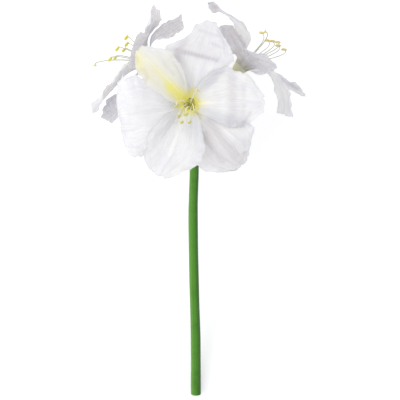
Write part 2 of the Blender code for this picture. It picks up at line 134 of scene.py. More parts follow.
FRONT = Bloom(
    name="front",
    base=Vector((-12.98, 130.24, 132.0)) * MM,
    axis=Vector((-0.05, -0.04, 1)),
    ninety=Vector((0, 1, 0)),
    foot_azimuth=90,
    tepals=[
        Tepal("petal_1", "inner", 134, 74, 111.1, 66, (11, 16, 19, 22, 22, 18, 11),
            (9, 16, 24, 29, 27, 20, 12), curl=28, twist=9, sweep=-2, cup=-0.1, tip_round=0.05, phase=0.4),
        Tepal("petal_2", "inner", 4, 80, 108.2, 50, (14, 30, 42, 44, 36, 26, 12),
            (12, 19, 29, 33, 32, 22, 12), curl=13, twist=-4, sweep=-4, cup=-0.1, tip_round=0.03, phase=2),
        Tepal("petal_3", "inner", 248, 77, 113.6, 54, (14, 27, 39, 44, 39, 27, 15),
            (11, 20, 28, 32, 30, 24, 13), curl=21, twist=-1, sweep=-1, cup=0.2, tip_round=0.04, phase=4.1),
        Tepal("sepal_1", "outer", 78, 81, 121.8, 51, (11, 22, 34, 46, 25, 12, 9),
            (13, 25, 37, 43, 36, 22, 13), curl=50, twist=1, sweep=-3, cup=-0.4, tip_round=0.05, phase=1.2),
        Tepal("sepal_2", "outer", 306, 82, 114.2, 51, (12, 23, 34, 45, 44, 31, 15),
            (15, 27, 36, 41, 41, 30, 16), curl=37, twist=1, sweep=5, cup=-0.5, tip_round=0.04, phase=3.3),
        Tepal("sepal_3", "outer", 197, 85, 101.5, 47, (13, 24, 34, 45, 50, 51, 46),
            (17, 32, 45, 53, 53, 53, 53), curl=36, twist=6, sweep=-4, cup=-0.2, tip_round=0, phase=5.2),
    ],
    anthers=[(8, -11, 66), (-15, -3, 58), (-12, -16, 54), (-8, -24, 62), (-3, -14, 56), (2, -24, 64)],
    anther_way=(-0.5, -0.3, 1),
    style_tip=(13, 16, 70),
    hook=(0, -10),
)
LEFT = Bloom(
    name="left",
    base=Vector((-48.48, 184.34, 94.0)) * MM,
    axis=Vector((-0.92, 0.39, -0.14)),
    ninety=Vector((0, 0, 1)),
    foot_azimuth=210,
    tepals=[
        Tepal("petal_1", "inner", 145, 97, 85.8, 48, (14, 22, 30, 35, 34, 25, 14),
            (8, 12, 22, 26, 28, 28, 22), curl=-20, twist=7, sweep=2, curl_start=0.59, cup=-0.6,
            tip_round=0.05, phase=0.9),
        Tepal("petal_2", "inner", 13, 73, 109.7, 51, (12, 20, 26, 26, 26, 21, 15),
            (13, 32, 34, 31, 32, 27, 13), curl=6, roll=-12, twist=-13, sweep=-4, curl_start=0.6, cup=1.2,
            tip_round=0.03, phase=2.6),
        Tepal("petal_3", "inner", 265, 91, 100.2, 47, (8, 14, 19, 22, 21, 16, 9),
            (7, 11, 18, 21, 21, 16, 8), curl=31, twist=-3, sweep=2, curl_start=0.56, cup=-0.4, phase=4.4),
        Tepal("sepal_1", "outer", 197, 112, 85.8, 48, (7, 8, 12, 20, 25, 16, 5),
            (10, 14, 22, 25, 22, 15, 9), curl=31, roll=4, twist=-17, cup=-1, tip_round=-0.05, phase=1.7),
        Tepal("sepal_2", "outer", 339, 82, 100.8, 42, (7, 9, 20, 30, 32, 24, 13),
            (9, 11, 21, 29, 28, 21, 11), curl=3, twist=20, sweep=20, cup=0.3, tip_round=-0.05, phase=3),
        Tepal("sepal_3", "outer", 89, 97, 86.9, 40, (13, 23, 30, 30, 30, 28, 17),
            (10, 17, 19, 17, 19, 19, 13), curl=-15, twist=5, sweep=-4, curl_start=0.65, cup=-0.8,
            tip_round=-0.04, phase=5),
    ],
    anthers=[(18, 10, 73), (1, 8, 70), (-18, 6, 65), (-11, -6, 64), (-3, -12, 66), (12, -8, 72)],
    anther_way=(1, 0.2, 0.3),
    style_tip=(32, 0, 92),
    hook=(8, 0),
)
RIGHT = Bloom(
    name="right",
    base=Vector((44.52, 174.34, 94.0)) * MM,
    axis=Vector((0.68, 0.72, -0.14)),
    ninety=Vector((0, 0, 1)),
    foot_azimuth=330,
    tepals=[
        Tepal("petal_1", "inner", 43, 87, 72, 22, (9, 12, 14, 14, 12, 10, 7), (9, 15, 16, 14, 12, 9, 6),
            curl=6, roll=56, twist=-6, cup=0.2, tip_round=0.02, phase=1.1),
        Tepal("petal_2", "inner", 151, 110, 128, 52, (10, 13, 16, 16, 14, 14, 12),
            (8, 9, 10, 12, 13, 12, 11), curl=26, roll=22, twist=24, sweep=-6, curl_start=0.4, cup=-0.1,
            tip_round=-0.02, phase=3.6),
        Tepal("petal_3", "inner", 268, 77, 98.9, 48, (9, 12, 16, 19, 18, 14, 9),
            (11, 18, 26, 30, 29, 22, 12), curl=33, twist=4, sweep=2, cup=0.6, phase=5.5),
        Tepal("sepal_1", "outer", -19, 107, 112, 106, (5, 9, 13, 14, 13, 12, 8), (8, 13, 20, 22, 18, 12, 8),
            curl=-2, roll=-38, twist=34, sweep=6, cup=-0.3, tip_round=-0.04, phase=0.2),
        Tepal("sepal_2", "outer", 108, 90, 86, 30, (12, 17, 20, 20, 17, 13, 8),
            (12, 18, 23, 27, 27, 21, 12), curl=0, twist=14, sweep=3, cup=-0.8, tip_round=0.02, phase=2.2),
        Tepal("sepal_3", "outer", 205, 72, 113, 44, (12, 16, 18, 17, 16, 18, 9), (10, 12, 14, 14, 12, 9, 5),
            curl=6, roll=-9, twist=-6, sweep=4, cup=0.3, tip_round=0, phase=4.9),
    ],
    anthers=[(11, 6, 69), (-14, 12, 73), (-27, 4, 74), (-17, -2, 74), (-7, -8, 75), (-1, -12, 72)],
    anther_way=(-0.7, 0.2, 0.6),
    style_tip=(8, 0, 76),
    hook=(16, 0),
)

# Spathe: the two withered bracts that had wrapped the buds, now bent back from the scape's top
BRACTS = [
    Tepal("bract_1", "spathe", 5, 112, 46, 24, (10, 11, 11, 10, 8, 5, 2), (10, 11, 11, 9, 7, 5, 2), curl=30,
        curl_start=0.5, twist=25, sweep=-12, cup=0.4, ruffle=2.5, phase=1),
    Tepal("bract_2", "spathe", 176, 104, 40, 22, (10, 11, 11, 9, 7, 4, 2), (10, 11, 11, 10, 8, 5, 2),
        curl=38, curl_start=0.5, twist=-18, sweep=14, cup=0.6, ruffle=2.5, phase=3.5),
]


@dataclass
class Finish:
    """What colours and creases one tepal. streak is the share of its length that the yellow of its midrib
    reaches and streak_width its width in mm, glow the share that the throat's yellow reaches at its sides,
    and strength how full that yellow is. cream is how warm the face is, shade how much painted shade greys
    the whole back, and back_green how olive the back is at its foot. Each of the lobes is a place along the
    margin, its side (1 for left), and how far the margin swells there in mm.

    Folds, marks and stains are soft lines on the tepal. Their rows say where a line starts and where it
    ends, each as a share of the length and a share of the half width, left positive, and how wide it is in
    mm. Then comes the height of a fold in mm, negative for a valley, how grey a mark is, or how yellow a
    stain is. The grey of the marks is painted shade, laid on folds, creases and overlaps, at tips and
    margins, and over whole parts of a tepal that lie in shade."""

    streak: float = 0.24
    streak_width: float = 4
    glow: float = 0.13
    strength: float = 0.8
    cream: float = 0.08
    shade: float = 0.0
    back_green: float = 0.5
    folds: tuple = ()
    marks: tuple = ()
    stains: tuple = ()
    lobes: tuple = ()


# The grey marks and back shades in these finishes are painted shade
FINISHES = {
    "front_petal_1": Finish(
        streak=0.8, glow=0.3, streak_width=7, strength=0.85, cream=0.62,
        folds=(
            (0.25, 0.05, 0.85, 0.1, 6, -1.2), (0.35, -0.6, 0.85, -0.5, 5, 1.0),
            (0.45, 0.62, 0.9, 0.4, 5, -0.9),
        ),
        marks=(
            (0.78, 0.66, 0.7, 0.76, 4, 0.7), (0.5, -0.45, 0.78, -0.5, 2.2, 0.3),
            (0.35, -0.75, 0.6, -0.8, 2.5, 0.35), (0.3, 0.5, 0.6, 0.6, 4, 0.15),
            (0.75, 0.2, 1, 0.3, 15, 0.12),
        ),
        stains=(
            (0.97, 0.45, 0.86, 0.6, 6.5, 0.5), (0.78, 0.66, 0.7, 0.76, 4, 0.55),
            (0.4, 0.3, 0.7, 0.4, 9, 0.12), (0.05, 0.4, 0.42, 0.25, 6, 0.7), (0.75, 0.2, 1, 0.3, 15, 0.24),
        ),
    ),
    "front_petal_2": Finish(
        streak=0.34, glow=0.26, cream=0.14,
        folds=(
            (0.62, 0.95, 0.58, -0.9, 4, -0.8), (0.7, 0.9, 0.69, -0.8, 5, 0.6),
            (0.2, 0.5, 0.5, 0.45, 5, 0.6), (0.9, 0.5, 0.98, -0.5, 4, -1.0),
        ),
        marks=(
            (0.63, 0.95, 0.62, -0.75, 7.5, 0.85), (0.76, 0.6, 0.74, -0.6, 4, 0.4),
            (0.83, -0.55, 0.72, -0.95, 3, 0.7), (0.45, 0.3, 0.42, -0.4, 6, 0.1),
        ),
    ),
    "front_petal_3": Finish(
        streak=0.32, glow=0.22, cream=0.1,
        folds=(
            (0.3, 0.35, 0.95, 0.45, 5, 0.6), (0.35, -0.4, 0.95, -0.3, 4, -0.7),
            (0.5, 0.75, 0.95, 0.7, 4, -0.7), (0.55, 0.1, 0.97, 0.08, 4, 0.5),
        ),
        marks=(
            (0.4, 0, 0.9, 0, 30, 0.1), (0.25, -0.75, 0.8, -0.9, 6, 0.45),
            (0.3, -0.45, 0.7, -0.55, 2.5, 0.3), (0.35, -0.2, 0.75, -0.12, 3, 0.2),
            (0.4, 0.15, 0.8, 0.2, 2.5, 0.2),
        ),
    ),
    "front_sepal_1": Finish(
        streak=0.28, glow=0.2, cream=0.05,
        folds=(
            (0.6, 0.9, 0.57, -0.8, 3, 1.4), (0.66, 0.8, 0.64, -0.8, 4, -1.2),
            (0.82, 0.7, 0.86, -0.7, 4, 0.7), (0.74, -0.2, 0.8, -0.8, 3, 0.8),
        ),
        marks=(
            (0.72, 0.9, 0.45, 0.75, 9, 0.85), (0.9, -0.7, 0.6, -0.95, 4, 0.4),
            (0.57, 0.65, 0.56, -0.55, 3.2, 1), (0.75, 0, 1, 0, 22, 0.25), (0.62, 0.5, 0.6, -0.5, 6, 0.2),
            (0.83, 0.5, 0.82, -0.5, 2.4, 0.4), (0.72, -0.3, 0.7, -0.7, 2.2, 0.45),
            (0.5, -0.95, 0.42, -0.95, 3, 0.9),
        ),
        lobes=((0.74, 1, -3.0), (0.92, 1, 5.0)),
    ),
    "front_sepal_2": Finish(
        streak=0.32, glow=0.24, cream=0.08,
        folds=(
            (0.3, 0.1, 0.9, 0.3, 4, -1.2), (0.35, 0.45, 0.92, 0.62, 4, 0.9),
            (0.35, -0.3, 0.92, -0.2, 4, 1.1), (0.5, -0.6, 0.95, -0.5, 4, -0.9),
        ),
        marks=(
            (0.5, -0.1, 0.95, -0.2, 17, 0.66), (0.35, 0.3, 0.85, 0.15, 6, 0.85),
            (0.45, -0.2, 0.8, -0.35, 5, 0.7), (0.5, 0.6, 0.85, 0.6, 3, 0.4), (0.95, 0.1, 0.9, 0.5, 3, 0.9),
            (0.3, -0.7, 0.9, -0.8, 5, 0.4),
        ),
    ),
    "front_sepal_3": Finish(
        streak=0.28, glow=0.22, cream=0.06,
        folds=(
            (0.3, 0.3, 0.95, 0.35, 6, -0.8), (0.4, -0.35, 0.95, -0.45, 6, 0.8),
            (0.75, 0.85, 1.0, 0.55, 5, 1.0),
        ),
        marks=(
            (0.4, 0, 0.95, 0, 40, 0.13), (0.3, 0.5, 0.75, 0.7, 6, 0.22), (0.4, -0.1, 0.8, -0.15, 4, 0.12),
            (0.97, -0.2, 0.95, 0.4, 3, 0.3),
        ),
        lobes=((0.9, -1, 6.5), (0.68, -1, 2.5)),
    ),
    "left_petal_1": Finish(cream=0.15, back_green=1.3, folds=((0.5, 0.1, 0.98, 0.2, 3, -0.8),)),
    "left_petal_2": Finish(
        cream=0.2, back_green=1.4,
        marks=((0.2, -0.4, 0.4, -0.4, 9, 0.5), (0.86, 0, 1, 0, 9, 1)),
        stains=((0.2, -0.4, 0.4, -0.4, 9, 0.3),),
    ),
    "left_sepal_1": Finish(back_green=1.3, folds=((0.45, -0.35, 0.98, -0.3, 2.5, 0.7),)),
    "left_sepal_2": Finish(back_green=1.2, folds=((0.5, 0.35, 0.98, 0.3, 3, -0.8),)),
    "left_sepal_3": Finish(back_green=1.3, shade=0.6, marks=((0.5, 0.6, 0.95, 0.5, 4, 0.3),)),
    "right_petal_1": Finish(
        back_green=0.6, shade=0.3,
        folds=((0.2, 0.1, 0.9, 0.15, 3, 0.8), (0.3, -0.5, 0.9, -0.45, 2.5, -0.8)),
        marks=(
            (0.25, -0.7, 0.8, -0.8, 3, 0.6), (0.3, 0.9, 0.9, 0.9, 2, 0.7), (0.3, 0.2, 0.8, 0.3, 2.5, 0.4),
        ),
    ),
    "right_petal_2": Finish(
        folds=((0.5, -0.35, 0.98, -0.4, 3, 1), (0.45, 0.3, 0.98, 0.3, 3, -1)),
        marks=((0.5, -0.1, 0.95, -0.1, 1.6, 0.5), (0.5, 0.6, 0.95, 0.6, 1.6, 0.4)),
    ),
    "right_sepal_1": Finish(
        cream=0.05,
        folds=((0.55, 1, 0.84, 1, 5.5, 3.2), (0.55, -1, 0.84, -1, 5.5, 3.2)),
        marks=((0.9, 0.3, 1, 0, 6, 0.9), (0.5, 0.9, 0.95, 0.9, 3, 0.8), (0.5, -0.9, 0.95, -0.9, 3, 0.8)),
    ),
    "right_sepal_2": Finish(back_green=0.3, shade=0.3, folds=((0.2, 0.2, 0.9, 0.3, 4, -0.8),)),
    "right_sepal_3": Finish(back_green=0.3, shade=0.2, marks=((0.45, -0.4, 0.8, -0.5, 3, 0.6),)),
}

# How thick each bloom's anthers have swollen, the front's being the youngest
ANTHER_GIRTH = {"front": 1.7 * MM, "left": 2.4 * MM, "right": 1.95 * MM}

# Painted light: how strongly the faces of the front bloom's tepals glow all over, lifting their shade
PAINTED_GLOW = 0.1

# How white each bloom's faces are. The left bloom's are greyer as painted shade, since they look straight
# into the key light
WHITENESS = {"front": 0.93, "left": 0.84, "right": 0.9}

# Resolution of the tepals' faces, and half the angle that a tepal's foot takes up on its ring
ROWS = 88
COLUMNS = 64
CLAW_HALF_ANGLE = np.radians(30)

# Thickness of a tepal at its foot and at its margin, and how much thinner it gets up to its tip
FOOT_THICKNESS = 1.0 * MM
EDGE_THICKNESS = 0.3 * MM
THINNING = 0.35 * MM

# Veins across a tepal, and how deep they and the midrib lie in its face and stand out from its back
VEINS = 15
VEIN_DEPTHS = (0.09 * MM, 0.12 * MM)
RIB_DEPTHS = (0.55 * MM, 0.5 * MM)

# Nicks in a tepal's outline: waves along it, and their depth for one wave, as a share of its width
NICK_WAVES = (4, 7, 12, 19)
NICK_DEPTH = 0.13

# How far along the margin a lobe reaches, as a share of the tepal's length
LOBE_REACH = 0.09

# Ripples of the margin: waves along it and their height in mm. Swells of the whole blade: their number
# and height
RIPPLES = ((4.6, 1.0), (7.9, 0.7), (13.5, 0.35))
SWELLS = 4
SWELL_HEIGHT = 0.35 * MM


def smooth(x):
    """Eases from 0 to 1 as x goes from 0 to 1."""
    x = np.clip(x, 0, 1)
    return x * x * (3 - 2 * x)


def together(*parts):
    """Stacks arrays and single numbers along a new last axis."""
    return np.stack(np.broadcast_arrays(*parts), axis=-1)


def circle(count):
    """Evenly spaced angles all the way round."""
    return np.linspace(0, 2 * np.pi, count, endpoint=False)


def frame_matrix(base, axis, ninety):
    """A frame at base: Z along axis, Y towards the azimuth of 90 degrees."""
    z = axis.normalized()
    x = ninety.cross(z).normalized()
    y = z.cross(x)
    turn = Matrix((x, y, z)).transposed()
    return Matrix.Translation(base) @ turn.to_4x4()


def bloom_matrix(bloom):
    return frame_matrix(bloom.base, bloom.axis, bloom.ninety)


def bezier(p0, p1, p2, p3, count):
    """Points along a cubic Bezier curve, as rows of an array."""
    t = np.linspace(0, 1, count)[:, None]
    p0, p1, p2, p3 = (np.array(p) for p in (p0, p1, p2, p3))
    return (1 - t) ** 3 * p0 + 3 * (1 - t) ** 2 * t * p1 + 3 * (1 - t) * t * t * p2 + t**3 * p3


def running(steps):
    """The running total of the steps, from 0."""
    return np.concatenate([[0], np.cumsum(steps)])


def run_along(points):
    """How far along a line of points each of them lies."""
    return running(np.linalg.norm(np.diff(points, axis=0), axis=1))


def add_object(name, data):
    obj = bpy.data.objects.new(name, data)
    bpy.context.scene.collection.objects.link(obj)
    return obj


class Shape:
    """Gathers the surfaces of one piece and makes its mesh. Its tint has four shares for its materials."""

    def __init__(self):
        self.points, self.faces, self.slots, self.uvs, self.tints = [], [], [], [], []
        self.count = 0

    def grid(self, points, slot=0, around=False, flip=False, uv=None, tint=None):
        """Adds a grid of rows and columns; around joins its last column to its first. The first shares of
        the tint are given for each point, or for each row, and the others are 0."""
        rows, columns = points.shape[:2]
        index = np.arange(rows * columns).reshape(rows, columns) + self.count
        if around:
            index = np.concatenate([index, index[:, :1]], axis=1)
        corners = [index[:-1, :-1], index[:-1, 1:], index[1:, 1:], index[1:, :-1]]
        if uv is None:
            down, over = np.meshgrid(np.linspace(0, 1, rows), np.arange(columns) / columns, indexing="ij")
            uv = together(over, down)
        shares = np.zeros((rows, columns, 4))
        if tint is not None:
            shares[..., : tint.shape[-1]] = tint if tint.ndim == 3 else tint[:, None]
        self.points.append(points.reshape(-1, 3))
        self.uvs.append(uv.reshape(-1, 2))
        self.tints.append(shares.reshape(-1, 4))
        self.count += rows * columns
        self.add_faces(corners, slot, flip)
        return index

    def add_faces(self, corners, slot, flip=False):
        faces = together(*(corners[::-1] if flip else corners)).reshape(-1, len(corners))
        self.faces.extend(faces.tolist())
        self.slots.extend([slot] * len(faces))

    def join(self, first, second, slot=0):
        """Adds a strip of faces between two rows of points."""
        self.add_faces((first[:-1], first[1:], second[1:], second[:-1]), slot)

    def close(self, ring, slot=0, flip=False):
        """Fills the end of a tube with one fan of triangles."""
        ring = ring[:-1]
        for rows in (self.points, self.uvs, self.tints):
            rows.append(np.concatenate(rows)[ring].mean(axis=0)[None])
        self.add_faces((self.count, ring, np.roll(ring, -1)), slot, flip)
        self.count += 1

    def tube(self, rings, slot=0, flip=False, tint=None):
        """Adds a row of rings, closed at both ends."""
        index = self.grid(rings, slot, around=True, flip=flip, tint=tint)
        self.close(index[0], slot, flip=not flip)
        self.close(index[-1], slot, flip=flip)

    def make(self, name, materials, matrix=None):
        points = np.concatenate(self.points)
        if matrix is not None:
            turn = np.array(matrix)
            points = points @ turn[:3, :3].T + turn[:3, 3]
        mesh = bpy.data.meshes.new(name)
        mesh.from_pydata(points.tolist(), [], self.faces)
        for material in materials:
            mesh.materials.append(material)
        mesh.polygons.foreach_set("material_index", self.slots)
        corners = np.empty(len(mesh.loops), int)
        mesh.loops.foreach_get("vertex_index", corners)
        layer = mesh.uv_layers.new(name="lengthwise")
        layer.uv.foreach_set("vector", np.concatenate(self.uvs)[corners].ravel())
        tint = mesh.color_attributes.new("tint", "FLOAT_COLOR", "POINT")
        tint.data.foreach_set("color", np.concatenate(self.tints).astype(np.float32).ravel())
        mesh.shade_smooth()
        mesh.validate()
        return add_object(name, mesh)


def hand_over(shape, name, materials, matrix=None):
    """Makes a finished piece. It rides on the part and stands for the frame's node of that name."""
    obj = shape.make(name + "_seen", materials, matrix)
    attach(obj, "root")
    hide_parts(name)


# Tepals


def midrib(tepal, along):
    """Radius, height and slant of the tepal's midrib, at shares of its length."""
    fine = np.linspace(0, 1, 241)
    slant = RING_SLANT[tepal.whorl]
    bend = smooth(fine * tepal.length / tepal.bend)
    curl = smooth((fine - tepal.curl_start) / (1 - tepal.curl_start))
    theta = slant + (np.radians(tepal.flare) - slant) * bend + np.radians(tepal.curl) * curl
    step = tepal.length * MM / (len(fine) - 1)
    middle = (theta[1:] + theta[:-1]) / 2
    radius = RING_RADIUS[tepal.whorl] + running(np.sin(middle)) * step
    height = RING_HEIGHT[tepal.whorl] + running(np.cos(middle)) * step
    return (np.interp(along, fine, values) for values in (radius, height, theta))


def curve_through(places, values, at):
    """A smooth curve through values at the given places, read where at says."""
    places = np.asarray(places, float)
    values = np.asarray(values, float)
    slopes = np.gradient(values, places, axis=0)
    i = np.clip(np.searchsorted(places, at) - 1, 0, len(places) - 2)
    gap = places[i + 1] - places[i]
    t = (at - places[i]) / gap
    near = (2 * t**3 - 3 * t**2 + 1) * values[i] + (t**3 - 2 * t**2 + t) * gap * slopes[i]
    return near + (3 * t**2 - 2 * t**3) * values[i + 1] + (t**3 - t**2) * gap * slopes[i + 1]


def through(points, count):
    """Points of a smooth curve that passes through the given ones."""
    knots = np.arange(len(points))
    at = np.linspace(0, knots[-1], count)
    return together(*(curve_through(knots, values, at) for values in zip(*points)))


def half_width(tepal, s, v):
    """The tepal's width in mm beside its midrib, at shares of its length and on the side where v lies."""
    claw = RING_RADIUS[tepal.whorl] * CLAW_HALF_ANGLE / MM
    left, right = (curve_through(STATIONS, (claw, *side), s) for side in (tepal.left, tepal.right))
    return np.where(np.asarray(v) > 0, left, right)


def soft_lines(tepal, lines, s, v):
    """The lines' last numbers, added up over the tepal: full on each line and fading out beside it."""

    def flat(share, side):
        return share * tepal.length, side * half_width(tepal, share, side)

    x, y = flat(s, v)
    total = 0 * x
    for start, start_side, end, end_side, width, strength in lines:
        (x0, y0), (x1, y1) = flat(start, start_side), flat(end, end_side)
        t = ((x - x0) * (x1 - x0) + (y - y0) * (y1 - y0)) / ((x1 - x0) ** 2 + (y1 - y0) ** 2)
        t = np.clip(t, 0, 1)
        away = np.hypot(x - x0 - t * (x1 - x0), y - y0 - t * (y1 - y0))
        total = total + strength * np.exp(-((away / width) ** 2))
    return total


def tepal_surface(tepal, s, v, finish):
    """The tepal's middle surface in its bloom's frame, with finer ruffles than the solid has. s is the
    share of its length, and v that of its half width, left positive."""
    rng = np.random.default_rng(int(tepal.azimuth * 7 + tepal.length * 13) % 9973)

    def ripple(waves, place, lean=0):
        """Waves along the tepal, each side with a beat of its own."""
        beat = rng.uniform(0, 6.3, 2)
        return np.sin(2 * np.pi * waves * place + np.where(v < 0, beat[0], beat[1]) + lean)

    side_phase = tepal.phase + np.where(v < 0, 2.2, 0)
    outline = 1 + 0.03 * np.sin(2 * np.pi * WAVES * s + side_phase) * smooth(s / 0.6)
    for waves in NICK_WAVES:
        outline = outline + NICK_DEPTH / waves * ripple(waves, s) * smooth(s / 0.5)
    half = half_width(tepal, s, v)
    for share, way, swell in finish.lobes:
        half = half + swell * np.exp(-(((s - share) / LOBE_REACH) ** 2)) * (v * way > 0)
    offset = v * half * MM * outline
    tip_beat = rng.uniform(0, 6.3)
    ragged = 0.011 * np.sin(7 * v + tip_beat) + 0.007 * np.sin(15 * v + 2 * tip_beat)
    s_place = s * (1 - tepal.tip_round * np.abs(v) ** 2.5 * s**2 + ragged * s**6)

    radius, height, theta = midrib(tepal, s_place)
    azimuth = np.radians(tepal.azimuth + tepal.sweep * s_place**2)
    bow = np.cos(theta) / radius + tepal.cup / (tepal.length * MM)
    bow = np.where(np.abs(bow) < 1e-3, 1e-3, bow)
    sideways = np.sin(offset * bow) / bow
    inward = (1 - np.cos(offset * bow)) / bow
    wave = np.sin(2 * np.pi * WAVES * s_place + 1.3 * side_phase)
    inward = inward + tepal.ruffle * MM * smooth((s_place - 0.5) / 0.4) * np.abs(v) ** 3 * wave
    for waves, most in RIPPLES:
        most = most * MM * smooth((s_place - 0.22) / 0.5) * np.abs(v) ** 4
        inward = inward + most * ripple(waves, s_place, 1.5 * v)
    for _ in range(SWELLS):
        beat, lean = rng.uniform(0, 6.3), rng.uniform(-2, 2)
        swell = np.sin(2 * np.pi * rng.uniform(0.8, 1.9) * s_place + lean * v * 1.6 + beat)
        inward = inward + SWELL_HEIGHT * swell * smooth(s_place / 0.5)
    inward = inward + MM * soft_lines(tepal, finish.folds, s, v)

    turn = np.radians(tepal.roll) * smooth(s_place / ROLL_END) + np.radians(tepal.twist) * s_place**2
    turn = turn[..., None]
    x, y = np.cos(azimuth), np.sin(azimuth)
    across_way = together(-y, x, 0)
    inward_way = together(-np.cos(theta) * x, -np.cos(theta) * y, np.sin(theta))
    turned_across = across_way * np.cos(turn) + inward_way * np.sin(turn)
    turned_inward = inward_way * np.cos(turn) - across_way * np.sin(turn)
    rib = together(radius * x, radius * y, height)
    return rib + turned_across * sideways[..., None] + turned_inward * inward[..., None]


def surface_normals(points):
    down = np.gradient(points, axis=0)
    over = np.gradient(points, axis=1)
    normals = np.cross(down, over)
    return normals / np.linalg.norm(normals, axis=-1, keepdims=True)


def vein_lines(v, seed):
    """How much of a vein lies at each share of the width, from 0 to 1, unevenly spaced."""
    drift = 0.5 * np.sin(3.1 * v + seed) + 0.3 * np.sin(7.3 * v + 2 * seed)
    return (0.5 + 0.5 * np.cos(np.pi * (v * VEINS + drift))) ** 3


def make_tepal(name, tepal, matrix, finish, materials):
    """A tepal with its face, its back and a thin rim. The face's tint is yellow, green, cream and painted
    shade, and the back's is olive stripe, green foot, the painted grey of the whole back, and painted shade."""
    even = np.linspace(0, 1, ROWS + 1)
    over = np.linspace(-1, 1, COLUMNS + 1)
    s, v = np.meshgrid(even * (1.2 - 0.2 * even), over, indexing="ij")
    middle = tepal_surface(tepal, s, v, finish)
    normals = surface_normals(middle)

    taper = smooth((1 - np.abs(v)) / 0.35) * smooth((1 - s) / 0.12)
    thickness = EDGE_THICKNESS + (FOOT_THICKNESS - THINNING * s - EDGE_THICKNESS) * taper
    calm = smooth(s / 0.12) * smooth((1 - s) / 0.2) * smooth((1 - np.abs(v)) / 0.2)
    lines = vein_lines(v, tepal.phase)
    veins = lines * calm
    rib = np.exp(-((v / 0.07) ** 2)) * smooth(s / 0.15) * smooth((0.95 - s) / 0.5)
    inner = middle + normals * (thickness / 2 - VEIN_DEPTHS[0] * veins - RIB_DEPTHS[0] * rib)[..., None]
    outer = middle - normals * (thickness / 2 + VEIN_DEPTHS[1] * veins + RIB_DEPTHS[1] * rib)[..., None]

    from_rib = v * half_width(tepal, s, v)
    ridge = np.exp(-((from_rib / (finish.streak_width * (1.25 - 0.8 * s))) ** 2))
    fringe = 1 + 0.25 * lines + 0.12 * np.sin(23 * v + tepal.phase)
    beside = smooth((finish.glow * fringe - s) / (0.85 * finish.glow))
    along_rib = ridge * smooth((finish.streak * fringe - s) / (0.8 * finish.streak))
    yellow = finish.strength * (beside + (1 - beside) * along_rib) + soft_lines(tepal, finish.stains, s, v)
    # Painted shade: a grey rim along the margins and the tip, and the grey of the marks
    painted_rim_shade = np.maximum(smooth((np.abs(v) - 0.93) / 0.07), smooth((s - 0.965) / 0.035))
    shade = 0.4 * painted_rim_shade * smooth(s / 0.5) + soft_lines(tepal, finish.marks, s, v)
    cream = finish.cream * smooth((1.05 - s) / 0.5)
    face = together(yellow, smooth((0.24 - s) / 0.22), cream, shade)
    stripe = finish.back_green * np.exp(-((v / 0.3) ** 2)) * smooth((0.5 - s) / 0.42)
    back = together(stripe, smooth((0.18 - s) / 0.16), finish.shade, shade)

    uv = together((v + 1) / 2, s)
    shape = Shape()
    front = shape.grid(inner, 0, uv=uv, tint=face)
    behind = shape.grid(outer, 1, flip=True, uv=uv, tint=back)
    shape.join(front[0], behind[0], 1)
    shape.join(behind[-1], front[-1], 0)
    shape.join(behind[:, 0], front[:, 0], 0)
    shape.join(front[:, -1], behind[:, -1], 0)
    hand_over(shape, name, materials, matrix)


# Round pieces


def spokes_round(points, sides):
    """Directions from the points of a curve to a surface round it, carried along without twisting, with
    the curve's own direction and the angles between the spokes."""
    tangents = np.gradient(points, axis=0)
    tangents /= np.linalg.norm(tangents, axis=1, keepdims=True)
    first = np.cross(tangents[0], (0.31, 0.17, 0.93))
    across = [first / np.linalg.norm(first)]
    for tangent in tangents[1:]:
        side = across[-1] - tangent * (across[-1] @ tangent)
        across.append(side / np.linalg.norm(side))
    across = np.array(across)
    up = np.cross(tangents, across)
    angle = circle(sides)
    spokes = across[:, None] * np.cos(angle)[:, None] + up[:, None] * np.sin(angle)[:, None]
    return spokes, tangents, angle


def add_tube(shape, points, radii, sides, tint, lobes=0, lobe_depth=0):
    """A closed tube round a curve. Its cross-section may have lobes, as deep as lobe_depth says."""
    spokes, _, angle = spokes_round(points, sides)
    reach = radii[:, None] * (1 + np.reshape(lobe_depth, (-1, 1)) * np.cos(lobes * angle))
    shape.tube(points[:, None] + spokes * reach[..., None], tint=tint)


def rounded(radii, points):
    """Radii that close like a dome at the last point."""
    gone = run_along(points)
    left = np.clip((gone[-1] - gone) / radii[-1], 0, 1)
    return radii * np.maximum(np.sqrt(1 - (1 - left) ** 2), 0.12)


# The scape's hollow cut end and its domed top: share of its radius, and how far up the scape in mm
HOLLOW_PROFILE = ((0.98, -0.25), (0.9, -0.1), (0.72, 0.25), (0.66, 1), (0.62, 4), (0.58, 9), (0.5, 15))
DOME_PROFILE = ((0.97, 0.05), (0.8, 0.2), (0.4, 0.25))

# The tube: radius and height in mm, from the middle of its floor up to the lips inside the tepals, and from
# the lips outside them down to the middle of its underside
TUBE_INSIDE = (
    (0.4, 2.45), (2.6, 2.45), (3.7, 2.7), (4.2, 4), (4.9, 7.2), (5.8, 10.6), (6.25, 13), (6.5, 14.6),
    (6.62, 15),
)
TUBE_OUTSIDE = (
    (6.72, 14.6), (6.75, 13.3), (7, 13.05), (9.2, 13.05), (9.45, 13.4), (9.72, 14.7), (9.86, 14.9),
    (9.88, 14.5), (9.7, 13.2), (9.2, 11.2), (8.1, 8.2), (7, 5.4), (6.1, 2.8), (5.4, 0.7), (5.15, 0.05),
    (4.6, 0), (0.4, 0),
)


